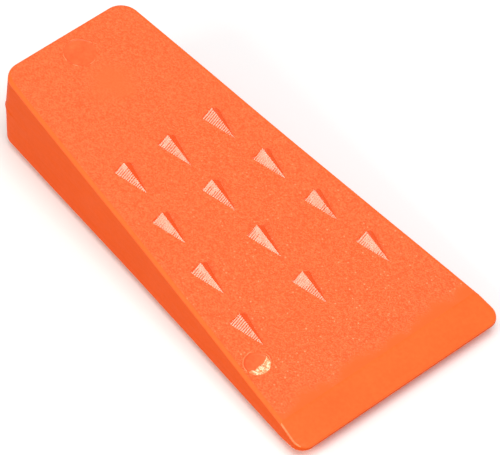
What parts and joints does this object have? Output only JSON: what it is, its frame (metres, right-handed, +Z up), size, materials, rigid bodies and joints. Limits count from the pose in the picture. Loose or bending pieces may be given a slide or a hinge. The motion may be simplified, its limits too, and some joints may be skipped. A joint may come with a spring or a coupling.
{
  "type": "felling wedge",
  "caption": "Tapered solid plastic wedge with rows of pointed barbs on both broad faces, a square struck head and a thin blunt tip wider than the head.",
  "frame": {"origin": "bottom centre of the bounding box, on the surface that the lower barbs' crests rest on", "axes": "+X from the struck head to the thin tip, +Y across the wedge, +Z up, square to the lower broad face"},
  "size_m": [0.1398, 0.0696, 0.0278],
  "materials": {
    "orange_plastic": "moulded, fine spark-eroded grain on the broad faces, smooth walls and nose"
  },
  "bodies": {
    "root": {"wedge_body": "orange_plastic"}
  },
  "joints": []
}
